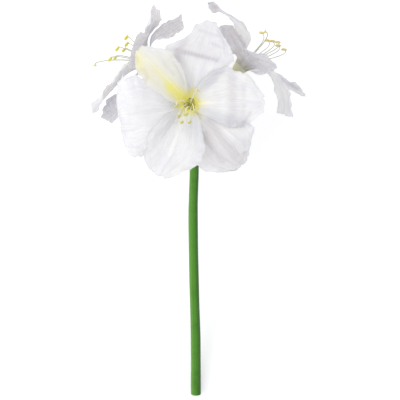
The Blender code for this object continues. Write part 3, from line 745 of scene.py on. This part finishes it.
def make_scape(materials):
    """The scape with fine ribs. Its cut end shows pale flesh round a hollow, and its top domes up a little
    between the flowers' stalks."""
    points = through(SCAPE_LINE, 150)
    gone = run_along(points)
    radii = SCAPE_RADIUS_CUT + (SCAPE_RADIUS_NECK - SCAPE_RADIUS_CUT) * gone / gone[-1]
    flare = smooth((gone - gone[-1]) / SCAPE_FLARE_LENGTH + 1)
    radii = radii + (SCAPE_RADIUS_TOP - SCAPE_RADIUS_NECK) * flare
    radii = radii + 0.08 * MM * (np.sin(gone / (31 * MM)) + np.sin(gone / (13 * MM) + 1))
    spokes, way, angle = spokes_round(points, 64)
    ribs = 0.07 * np.cos(16 * angle) + 0.04 * np.cos(27 * angle + 1)
    reach = radii[:, None] * (1 + 0.015 * np.cos(2 * angle + 0.5)) + ribs * MM

    def cap(end, profile):
        share, rise = np.array(profile).T[..., None, None]
        return points[end] + way[end] * rise * MM + spokes[end] * radii[end] * share

    shape = Shape()
    rings = points[:, None] + spokes * reach[..., None]
    index = shape.grid(rings, around=True, tint=gone[:, None] / gone[-1])
    inside = shape.grid(cap(0, HOLLOW_PROFILE), 1, around=True, flip=True)
    shape.join(inside[0], index[0], 1)
    shape.close(inside[-1], 1, flip=True)
    top = shape.grid(cap(-1, DOME_PROFILE), around=True)
    shape.join(index[-1], top[0])
    shape.close(top[-1])
    hand_over(shape, "scape", materials)


def pedicel_line(bloom, count):
    """Points from the scape's top to the bloom's base."""
    scape_way = (SCAPE_LINE[-1] - SCAPE_LINE[-2]).normalized()
    side = scape_way.cross(Vector((0, 0, 1))).normalized()
    up = side.cross(scape_way)
    angle = np.radians(bloom.foot_azimuth)
    foot = SCAPE_LINE[-1] + scape_way * SEAT
    foot = foot + (side * np.cos(angle) + up * np.sin(angle)) * PEDICEL_OFFSET
    axis = bloom.axis.normalized()
    end = bloom.base - axis * SEAT
    reach = (end - foot).length
    return bezier(foot, foot + scape_way * reach * 0.35, end - axis * reach * 0.45, end, count)


def make_pedicel(bloom, materials):
    """The flower's own stalk, with the three-lobed ovary at its end."""
    points = pedicel_line(bloom, 72)
    gone = run_along(points)
    left = (gone[-1] - gone) / OVARY_LENGTH
    radii = PEDICEL_RADIUS + (OVARY_RADIUS - PEDICEL_RADIUS) * smooth((1.25 - left) / 0.7)
    radii = radii + (OVARY_END_RADIUS - OVARY_RADIUS) * smooth((0.35 - left) / 0.35)
    lobed = 0.09 * smooth((1.2 - left) / 0.4) * smooth((left + 0.1) / 0.35)
    ripe = smooth((1.15 - left) / 0.5)
    tint = together(0.8, ripe, smooth((0.4 - left) / 0.4))
    shape = Shape()
    add_tube(shape, points, radii, 36, tint, 3, lobed)
    hand_over(shape, f"{bloom.name}_pedicel", materials)


def make_tube(bloom, materials):
    """The short perianth tube. Thin lips inside and outside the tepals' feet hide where they spring."""
    profile = np.array(TUBE_INSIDE + TUBE_OUTSIDE) * MM
    angle = circle(72)
    azimuths = [t.azimuth for t in bloom.tepals if t.whorl == "outer"]
    first = np.radians(np.mean([(a - 120 * k) for k, a in enumerate(sorted(azimuths))]))
    ripple = 1 + 0.02 * np.cos(6 * (angle - first)) + 0.012 * np.cos(3 * (angle - first))
    share = smooth((profile[:, 1] - 1 * MM) / (8 * MM))
    reach = profile[:, :1] * (1 + (ripple - 1) * share[:, None])
    rings = together(reach * np.cos(angle), reach * np.sin(angle), profile[:, 1:])
    inside = np.arange(len(profile)) < len(TUBE_INSIDE)
    shape = Shape()
    shape.tube(rings, flip=True, tint=together(smooth(profile[:, 1] / TUBE_LENGTH), inside))
    hand_over(shape, f"{bloom.name}_tube", materials, bloom_matrix(bloom))


def add_anther(shape, tip, lie, sag, girth, seed):
    """A curved, two-lobed anther that hangs by its middle, dusted with pollen."""
    place = -np.cos(np.linspace(0, np.pi, 26))
    centre = tip + lie * place[:, None] + sag * (1 - place[:, None] ** 2)
    spokes, _, angle = spokes_round(centre, 20)
    body = np.sqrt(np.clip(1 - np.abs(place) ** 2.6, 0.004, 1))
    lobes = 1 + 0.16 * np.cos(2 * angle) - 0.22 * np.exp(-((np.minimum(angle, 2 * np.pi - angle) / 0.5) ** 2))
    grain = 1 + 0.05 * np.random.default_rng(seed).standard_normal((len(place), len(angle)))
    reach = girth * body[:, None] * lobes * grain
    shape.tube(centre[:, None] + spokes * reach[..., None], 1)


def make_stamens(bloom, materials):
    """Six filaments and their anthers, growing from a low ring. The front bloom's are the palest."""
    shape = Shape()
    pale = float(bloom is FRONT)
    half_height = STAMEN_RING_HEIGHT / 2
    centre = TUBE_FLOOR + SEAT + half_height
    for k, (x, y, z) in enumerate(bloom.anthers):
        angle = np.radians(60 * k + 30)
        foot = Vector((np.cos(angle) * FILAMENT_FOOT, np.sin(angle) * FILAMENT_FOOT, centre))
        tip = Vector((x, y, z)) * MM
        bend = tip - Vector((*bloom.hook, -3)) * MM
        rise = Vector((foot.x * 0.9, foot.y * 0.9, z * 0.42 * MM))
        line = bezier(foot, rise, bend, tip, 44)
        share = np.linspace(0, 1, 44)
        radii = (1.1 - 0.26 * share + 0.1 * np.exp(-((share - 1) / 0.02) ** 2)) * FILAMENT_RADIUS
        tint = together(smooth((0.35 - share) / 0.35), smooth((share - 0.75) / 0.25), pale)
        add_tube(shape, line, rounded(radii, line), 12, tint)
        lie = np.array(Vector(bloom.anther_way).normalized() * ANTHER_LENGTH / 2)
        way = line[-1] - line[-2]
        sag = way / np.linalg.norm(way) * ANTHER_RADIUS * 0.6
        add_anther(shape, line[-1], lie, sag, ANTHER_GIRTH[bloom.name], 11 + k)
    outer = FILAMENT_FOOT + FILAMENT_RADIUS
    inner = outer - STAMEN_RING_WALL - FILAMENT_RADIUS
    around, section = np.linspace(0, 2 * np.pi, 49)[:, None], circle(14)
    reach = (outer + inner) / 2 + (outer - inner) / 2 * np.cos(section)
    ring = together(np.cos(around) * reach, np.sin(around) * reach, centre + half_height * np.sin(section))
    shape.grid(ring, around=True, tint=np.ones((len(ring), 1)))
    hand_over(shape, f"{bloom.name}_stamens", materials, bloom_matrix(bloom))


def make_style(bloom, materials):
    """The style with its three-lobed stigma."""
    tip = Vector(bloom.style_tip) * MM
    foot = Vector((0, 0, TUBE_FLOOR + SEAT))
    bend = tip - Vector((bloom.hook[0] * 0.7, bloom.hook[1] * 0.7, -4)) * MM
    line = bezier(foot, Vector((0, 0, tip.z * 0.45)), bend, tip, 60)
    share = np.linspace(0, 1, 60)
    radii = STYLE_RADIUS * (1.05 - 0.25 * share + 0.25 * smooth((share - 0.93) / 0.07))
    shape = Shape()
    tint = together(smooth((0.3 - share) / 0.3), smooth((share - 0.9) / 0.1))
    add_tube(shape, line, radii, 16, tint)
    way = Vector((line[-1] - line[-2]).tolist()).normalized()
    side = way.orthogonal().normalized()
    for k in range(3):
        lean = Matrix.Rotation(np.radians(120 * k), 3, way) @ side
        lobe = bezier(tip - way * STYLE_RADIUS, tip + (way * 0.8 + lean * 0.2) * STIGMA_LENGTH * 0.5,
                      tip + (way * 1.1 + lean * 0.7) * STIGMA_LENGTH * 0.8,
                      tip + (way * 0.75 + lean * 1.25) * STIGMA_LENGTH, 16)
        spot = np.linspace(0, 1, 16)
        add_tube(shape, lobe, rounded(STYLE_RADIUS * (0.8 + 0.05 * spot), lobe), 12, together(0 * spot, 1))
    hand_over(shape, f"{bloom.name}_style", materials, bloom_matrix(bloom))


# Materials


class Nodes:
    """Builds the nodes of a new material, or of a world, from short calls. A material starts from one
    colour, which is then covered in parts by others."""

    def __init__(self, name, kind=bpy.data.materials, shader="Principled BSDF"):
        self.owner = kind.new(name)
        self.owner.use_nodes = True
        self.tree = self.owner.node_tree
        self.shader = self.tree.nodes[shader]
        self.colour = (1, 1, 1)

    def add(self, kind, inputs=(), **settings):
        node = self.tree.nodes.new("ShaderNode" + kind)
        for key, value in settings.items():
            setattr(node, key, value)
        for key, value in dict(inputs).items():
            self.put(node.inputs[key], value)
        return node

    def put(self, socket, value):
        if isinstance(value, bpy.types.NodeSocket):
            self.tree.links.new(value, socket)
        elif isinstance(value, tuple) and len(value) == 3 and socket.type == "RGBA":
            socket.default_value = (*value, 1)
        else:
            socket.default_value = value

    def maths(self, operation, a, b=0.0, c=0.0):
        return self.add("Math", {0: a, 1: b, 2: c}, operation=operation).outputs[0]

    def times(self, a, b):
        return self.maths("MULTIPLY", a, b)

    def ramp(self, value, low, high, to_low=0.0, to_high=1.0):
        """Eases from to_low to to_high as the value goes from low to high."""
        inputs = {0: value, 1: low, 2: high, 3: to_low, 4: to_high}
        return self.add("MapRange", inputs, interpolation_type="SMOOTHSTEP").outputs[0]

    def mix(self, share, a, b):
        return self.add("Mix", {0: share, 6: a, 7: b}, data_type="RGBA").outputs[2]

    def cover(self, other, share):
        """Turns the colour towards another by a share."""
        self.colour = self.mix(share, self.colour, other)

    def tone(self, other, share, most):
        """Covers the colour by a share that is multiplied by most."""
        self.cover(other, self.times(share, most))

    def spots(self, other, pattern, low, high, most):
        """Covers the colour where a pattern rises from low to high."""
        self.cover(other, self.ramp(pattern, low, high, 0.0, most))

    def place(self, source="Object", scale=(1, 1, 1), offset=(0, 0, 0)):
        where = self.add("TexCoord").outputs[source]
        return self.add("Mapping", {"Vector": where, "Scale": scale, "Location": offset}).outputs[0]

    def noise(self, scale, detail=3, roughness=0.55, distortion=0.0, offset=(0, 0, 0)):
        """A soft pattern. A scale of two numbers, across and along the piece, draws it out lengthwise."""
        drawn_out = isinstance(scale, tuple)
        inputs = {
            "Vector": self.place("UV", (*scale, 1), offset) if drawn_out else self.place(offset=offset),
            "Scale": 1 if drawn_out else scale,
            "Detail": detail,
            "Roughness": roughness,
            "Distortion": distortion,
        }
        return self.add("TexNoise", inputs).outputs[0]

    def cells(self, scale):
        """How far each point is from the middle of its cell."""
        return self.add("TexVoronoi", {"Vector": self.place(), "Scale": scale}).outputs["Distance"]

    def bump(self, height, distance, strength=1.0, normal=None):
        node = self.add("Bump", {"Height": height, "Distance": distance, "Strength": strength})
        if normal is not None:
            self.put(node.inputs["Normal"], normal)
        return node.outputs[0]

    def tint(self):
        """The four shares of the mesh's tint."""
        source = self.add("Attribute", attribute_name="tint")
        return [*self.add("SeparateColor", {0: source.outputs["Color"]}).outputs, source.outputs["Alpha"]]

    def shade(self, **inputs):
        """Sets inputs of the shader, with _ for the spaces in their names."""
        for key, value in inputs.items():
            self.put(self.shader.inputs[key.replace("_", " ")], value)

    def flesh(self, weight, scale):
        """Light that passes a little way through thin living tissue."""
        self.shade(Subsurface_Weight=weight, Subsurface_Radius=(1.0, 0.9, 0.7), Subsurface_Scale=scale)

    def glow(self, colour, strength):
        self.shade(Emission_Color=colour, Emission_Strength=strength)

    def finish(self, pattern, smoothest, roughest, normal, **uniform):
        """Sets the surface, whose roughness follows a pattern."""
        roughness = self.ramp(pattern, 0.3, 0.7, smoothest, roughest)
        self.shade(Base_Color=self.colour, Roughness=roughness, Normal=normal, **uniform)
        return self.owner


def petal_material(name, white, vein, seed, back=False, light=0.0):
    """A tepal's face or back: white, with lengthwise veins. Its tint turns the face yellow, green, cream and
    the grey of painted shade, and the back olive, green and the grey of painted shade. light is how much more
    a yellow foot of the face glows with painted light, beside a painted glow all over the face. Where it is
    0, the face doesn't glow at all."""
    n = Nodes(name)
    yellow, green, third, shade = n.tint()
    broad = n.noise((13, 2.4), 4, 0.65, 0.7, (seed * 1.3, seed, 0))
    streak = n.noise((30, 1.5), 4, 0.6, 0.25, (seed * 1.7, seed * 0.9, 0))
    fine = n.noise((95, 3.2), 3, 0.55, 0.2, (seed, seed * 2.3, 0))
    cloud = n.noise(45, 4, 0.6, offset=(seed, 0, 0))
    crinkle = n.noise(190, 4, 0.6, 0.4, (seed, 4, 0))
    cells = n.noise(1500, 2, 0.5)

    n.colour = white
    n.spots(vein, cloud, 0.4, 0.65, 0.55)
    n.spots(vein, broad, 0.52, 0.66, 0.85)
    n.spots(vein, streak, 0.5, 0.68, 0.75)
    n.spots(vein, fine, 0.52, 0.66, 0.5)
    if back:
        n.spots((0.5, 0.475, 0.56), crinkle, 0.48, 0.66, 0.45)
        # Painted shade: the whole back's grey from its finish, then the grey of rims and marks
        n.tone((0.5, 0.485, 0.53), third, 0.8)
        n.tone((0.55, 0.56, 0.4), yellow, 0.55)
        n.tone((0.5, 0.5, 0.28), green, 0.55)
        n.tone((0.4, 0.385, 0.42), shade, 0.7)
    else:
        n.cover((0.87, 0.84, 0.64), third)
        streaked = n.times(yellow, n.ramp(streak, 0.3, 0.6, 0.7, 1.05))
        n.cover((0.84, 0.77, 0.24), n.maths("MINIMUM", streaked, 1.0))
        n.tone((0.66, 0.63, 0.12), green, 0.85)
        # Painted shade of rims and marks
        n.tone((0.56, 0.545, 0.58), shade, n.ramp(fine, 0.3, 0.62, 0.45, 1.1))

    relief = n.maths("ADD", streak, n.times(fine, 0.5))
    relief = n.maths("SUBTRACT", relief, n.times(broad, 1.6))
    relief = n.maths("ADD", relief, n.times(crinkle, 1.2))
    normal = n.bump(cells, 0.00006, 0.5, n.bump(relief, 0.0009, 0.7))
    n.flesh(0.6, 0.005)
    # Painted light: the face glows a little all over and more at its yellow foot, lifting the shade near the
    # throat
    if light:
        throat = n.maths("MAXIMUM", green, n.times(yellow, 0.4))
        through = n.maths("MULTIPLY_ADD", throat, light, PAINTED_GLOW)
        n.glow(n.mix(throat, n.colour, (0.95, 0.88, 0.35)), through)
    return n.finish(fine, 0.42, 0.56, normal, Sheen_Weight=0.1, Sheen_Roughness=0.5, Specular_IOR_Level=0.3)


def stalk_material():
    """Green flesh of the scape and pedicels: fine lengthwise lines, darker low down, with a faint waxy shine.
    A painted highlight lightens the side that faces -X, towards the key light, and painted shade darkens the
    side that faces +X."""
    n = Nodes("scape_flesh")
    height, ripe, tip = n.tint()[:3]
    lines = n.noise((46, 2.2), 4, 0.6, 0.1)
    fine = n.noise((150, 9), 2, offset=(3, 1, 0))
    cloud = n.noise(55)
    n.colour = n.mix(height, (0.058, 0.255, 0.01), (0.09, 0.32, 0.018))
    n.spots((0.13, 0.35, 0.035), lines, 0.42, 0.66, 0.6)
    n.spots((0.04, 0.15, 0.012), cloud, 0.45, 0.75, 0.5)
    n.tone((0.16, 0.33, 0.06), ripe, 0.5)
    n.tone((0.42, 0.52, 0.16), tip, 0.6)
    # Painted highlight on the side facing -X and painted shade on the side facing +X, read from the
    # object-space normal
    side = n.add("SeparateXYZ", {0: n.add("TexCoord").outputs["Normal"]}).outputs[0]
    n.cover((0.15, 0.36, 0.05), n.ramp(side, -0.7, -0.1, 0.5, 0.0))
    n.spots((0.022, 0.09, 0.008), side, 0.1, 0.95, 0.9)
    normal = n.bump(n.maths("ADD", lines, n.times(fine, 0.4)), 0.0005, 0.5)
    n.flesh(0.12, 0.002)
    return n.finish(cloud, 0.34, 0.46, normal, Coat_Weight=0.12, Coat_Roughness=0.35, Specular_IOR_Level=0.3)


def cut_material():
    """The scape's cut end: pale, moist flesh with the darker dots of its vessels."""
    n = Nodes("cut_flesh")
    dots = n.cells(900)
    cloud = n.noise(300)
    n.colour = n.mix(n.ramp(dots, 0.1, 0.4), (0.3, 0.42, 0.14), (0.62, 0.68, 0.4))
    n.spots((0.5, 0.55, 0.26), cloud, 0.3, 0.7, 0.5)
    n.flesh(0.2, 0.002)
    return n.finish(cloud, 0.3, 0.5, n.bump(dots, 0.0003, 0.4))


def tube_material():
    """The perianth tube: olive outside and paler to the rim, bright yellow inside the throat, which glows
    with painted light.
    """
    n = Nodes("tube_flesh")
    height, inside = n.tint()[:2]
    lines = n.noise((30, 1.2), 4, 0.6, 0.1)
    cloud = n.noise(90)
    outside = n.mix(height, (0.55, 0.56, 0.14), (0.66, 0.64, 0.5))
    throat = n.mix(height, (0.8, 0.74, 0.12), (0.92, 0.87, 0.28))
    n.colour = n.mix(inside, outside, throat)
    n.spots((0.6, 0.6, 0.28), lines, 0.4, 0.7, 0.5)
    n.flesh(0.2, 0.0025)
    # Painted light: the inside of the throat glows, lifting its shade
    n.glow((0.9, 0.85, 0.25), n.times(inside, 0.12))
    normal = n.bump(n.maths("ADD", lines, cloud), 0.0005, 0.4)
    return n.finish(cloud, 0.38, 0.5, normal)


def filament_material():
    """Pale filaments, greener at the foot and yellower near the anther."""
    n = Nodes("filament_flesh")
    foot, top, pale = n.tint()[:3]
    grain = n.noise(700)
    n.colour = n.mix(foot, (0.6, 0.6, 0.52), (0.8, 0.8, 0.4))
    n.tone((0.9, 0.84, 0.4), top, 0.5)
    n.spots((0.46, 0.46, 0.4), grain, 0.4, 0.7, 0.4)
    n.tone((0.93, 0.93, 0.74), pale, 0.9)
    n.flesh(0.3, 0.0015)
    return n.finish(grain, 0.35, 0.5, n.bump(grain, 0.0001, 0.4))


def pollen_material(name, bright, deep):
    """Anthers covered in grains of yellow pollen."""
    n = Nodes(name)
    grains = n.cells(2600)
    cloud = n.noise(420)
    dust = n.mix(n.ramp(cloud, 0.36, 0.68), bright, deep)
    n.colour = n.mix(n.ramp(grains, 0.25, 0.6), (0.95, 0.92, 0.38), dust)
    return n.finish(cloud, 0.7, 0.9, n.bump(grains, 0.00025, 0.8), Sheen_Weight=0.2)


def style_material(name, upper):
    """The style: greener at its foot, with a damp yellow stigma."""
    n = Nodes(name)
    foot, stigma = n.tint()[:2]
    grain = n.noise(600)
    n.colour = n.mix(foot, upper, (0.66, 0.72, 0.26))
    n.tone((0.86, 0.74, 0.22), stigma, 0.85)
    n.spots((0.72, 0.73, 0.56), grain, 0.4, 0.7, 0.3)
    n.flesh(0.3, 0.002)
    return n.finish(grain, 0.3, 0.45, n.bump(grain, 0.00015, 0.4))


def papery_material():
    """Withered bracts: dry tan skin with brown lines."""
    n = Nodes("papery_bract")
    lines = n.noise((40, 1.6), 4, 0.6, 0.2)
    cloud = n.noise(160, 4, 0.6)
    n.colour = n.mix(n.ramp(cloud, 0.35, 0.7), (0.7, 0.6, 0.42), (0.5, 0.38, 0.22))
    n.spots((0.36, 0.25, 0.13), lines, 0.5, 0.68, 0.8)
    normal = n.bump(n.maths("ADD", lines, n.times(cloud, 0.7)), 0.0009, 0.8)
    n.flesh(0.15, 0.002)
    return n.finish(cloud, 0.62, 0.8, normal)


def floor_material():
    n = Nodes("pale_floor")
    cloud = n.noise(3)
    n.colour = n.mix(n.ramp(cloud, 0.3, 0.7), (0.95, 0.95, 0.955), (0.93, 0.93, 0.935))
    n.glow((1, 1, 1), FLOOR_GLOW)
    return n.finish(cloud, 0.75, 0.85, n.bump(cloud, 0.0002, 0.2))


# Stage: pale floor, soft light and the camera straight above

FLOOR_HALF = 15.0
FLOOR_HEIGHT = -0.2 * MM
FLOOR_GLOW = 0.3

# The world rises from its first strength to its second as the view turns towards BRIGHT_SIDE, which goes
# from -1 to 1 over the whole turn and counts over WORLD_RANGE
WORLD_COLOUR = (0.97, 0.97, 1.0)
WORLD_STRENGTH = (0.5, 0.98)
WORLD_RANGE = (-0.7, 0.9)
BRIGHT_SIDE = Vector((-0.75, 0.25, 0.6)).normalized()

# Lamps: name, place, aim, size, watts and colour
LIGHTS = (
    ("key", (-2.0, 0.8, 1.9), (0.0, 0.05, 0.1), 1.0, 13.5, (1.0, 0.99, 0.98)),
    ("fill", (1.3, 1.9, 1.8), (0.0, 0.15, 0.1), 1.6, 5.5, (1.0, 1.0, 1.0)),
)

# The camera's height, the point of the floor that it stands over, and its lens as a share of the sensor
CAMERA_HEIGHT = 1.6
CAMERA_FOOT = (-0.00048, 0.00374)
FOCAL_SHARE = 1103.4 / 400
SENSOR = 36.0


def make_floor():
    """A wide sheet just under the lowest point of the stem."""
    mesh = bpy.data.meshes.new("floor")
    corners = [(x * FLOOR_HALF, y * FLOOR_HALF, 0) for x, y in ((-1, -1), (1, -1), (1, 1), (-1, 1))]
    mesh.from_pydata(corners, [], [(0, 1, 2, 3)])
    mesh.materials.append(floor_material())
    floor = add_object("floor", mesh)
    floor.location.z = FLOOR_HEIGHT


def make_world():
    world = Nodes("studio", bpy.data.worlds, "Background")
    way = world.add("TexCoord").outputs["Generated"]
    towards = world.add("VectorMath", {0: way, 1: BRIGHT_SIDE}, operation="DOT_PRODUCT").outputs["Value"]
    strength = world.add("MapRange", enumerate((towards, *WORLD_RANGE, *WORLD_STRENGTH))).outputs[0]
    world.shade(Color=WORLD_COLOUR, Strength=strength)
    bpy.context.scene.world = world.owner


def make_lights():
    for name, place, aim, size, watts, colour in LIGHTS:
        lamp = bpy.data.lights.new(name, "AREA")
        lamp.shape = "DISK"
        lamp.size = size
        lamp.energy = watts
        lamp.color = colour
        light = add_object(name, lamp)
        light.location = place
        light.rotation_euler = (Vector(aim) - Vector(place)).to_track_quat("-Z", "Y").to_euler()
        light.visible_camera = False


def make_camera():
    lens = bpy.data.cameras.new("camera")
    lens.sensor_width = SENSOR
    lens.lens = FOCAL_SHARE * SENSOR
    lens.clip_end = 20
    camera = add_object("camera", lens)
    camera.location = (*CAMERA_FOOT, CAMERA_HEIGHT)
    bpy.context.scene.camera = camera
    view = bpy.context.scene.view_settings
    view.view_transform = "Standard"
    view.look = "None"
    view.exposure = 0.0
    view.gamma = 1.0


# White and vein colours of the tepals' faces, before their bloom's whiteness, and of their backs. The backs'
# darker lilac grey is painted shade.
FACE_COLOURS = np.array(((0.9, 0.9, 0.905), (0.78, 0.775, 0.82)))
BACK_COLOURS = ((0.83, 0.815, 0.87), (0.58, 0.565, 0.63))

# Painted light: how much more the yellow feet of the front bloom's tepals glow, lifting the shade in its
# throat
PAINTED_FOOT_GLOW = 0.2

# Crinkles of a bract: places across it, and the width and height of each in mm
CRINKLES = (-0.6, -0.2, 0.2, 0.6)
CRINKLE_SIZE = (1.6, 0.7)


def make_bloom(number, bloom, stalk, tube, filament, pollen, style):
    make_pedicel(bloom, [stalk])
    make_tube(bloom, [tube])
    # Only the front bloom's faces glow with painted light
    light = PAINTED_FOOT_GLOW if bloom is FRONT else 0.0
    for k, tepal in enumerate(bloom.tepals):
        name = f"{bloom.name}_{tepal.name}"
        seed = 3.0 * number + 0.5 * k
        white, vein = (tuple(colour) for colour in FACE_COLOURS * WHITENESS[bloom.name])
        face = petal_material(name + "_face", white, vein, seed, light=light)
        back = petal_material(name + "_back", *BACK_COLOURS, seed + 40, back=True)
        finish = FINISHES.get(name, Finish())
        make_tepal(name, tepal, bloom_matrix(bloom), finish, [face, back])
    make_stamens(bloom, [filament, pollen])
    make_style(bloom, [style])


def make_spathe():
    papery = papery_material()
    umbel = frame_matrix(SCAPE_LINE[-1], SCAPE_LINE[-1] - SCAPE_LINE[-2], Vector((0, 0, 1)))
    width, height = CRINKLE_SIZE
    folds = [(0.1, side, 0.95, side * 0.6, width, height * (-1) ** k) for k, side in enumerate(CRINKLES)]
    for bract in BRACTS:
        finish = Finish(strength=0, folds=folds)
        make_tepal(f"spathe_{bract.name}", bract, umbel, finish, [papery, papery])


def main():
    stalk, tube, filament = stalk_material(), tube_material(), filament_material()
    make_scape([stalk, cut_material()])
    young, old = style_material("young_style", (0.9, 0.9, 0.8)), style_material("old_style", (0.6, 0.62, 0.5))
    pollens = [
        pollen_material("young_pollen", (0.82, 0.8, 0.26), (0.6, 0.58, 0.1)),
        pollen_material("lemon_pollen", (0.9, 0.84, 0.12), (0.78, 0.6, 0.05)),
        pollen_material("tawny_pollen", (0.88, 0.76, 0.36), (0.76, 0.55, 0.2)),
    ]
    for number, (bloom, pollen, style) in enumerate(zip((FRONT, LEFT, RIGHT), pollens, (young, old, old))):
        make_bloom(number, bloom, stalk, tube, filament, pollen, style)
    make_spathe()
    make_floor()
    make_world()
    make_lights()
    make_camera()


main()
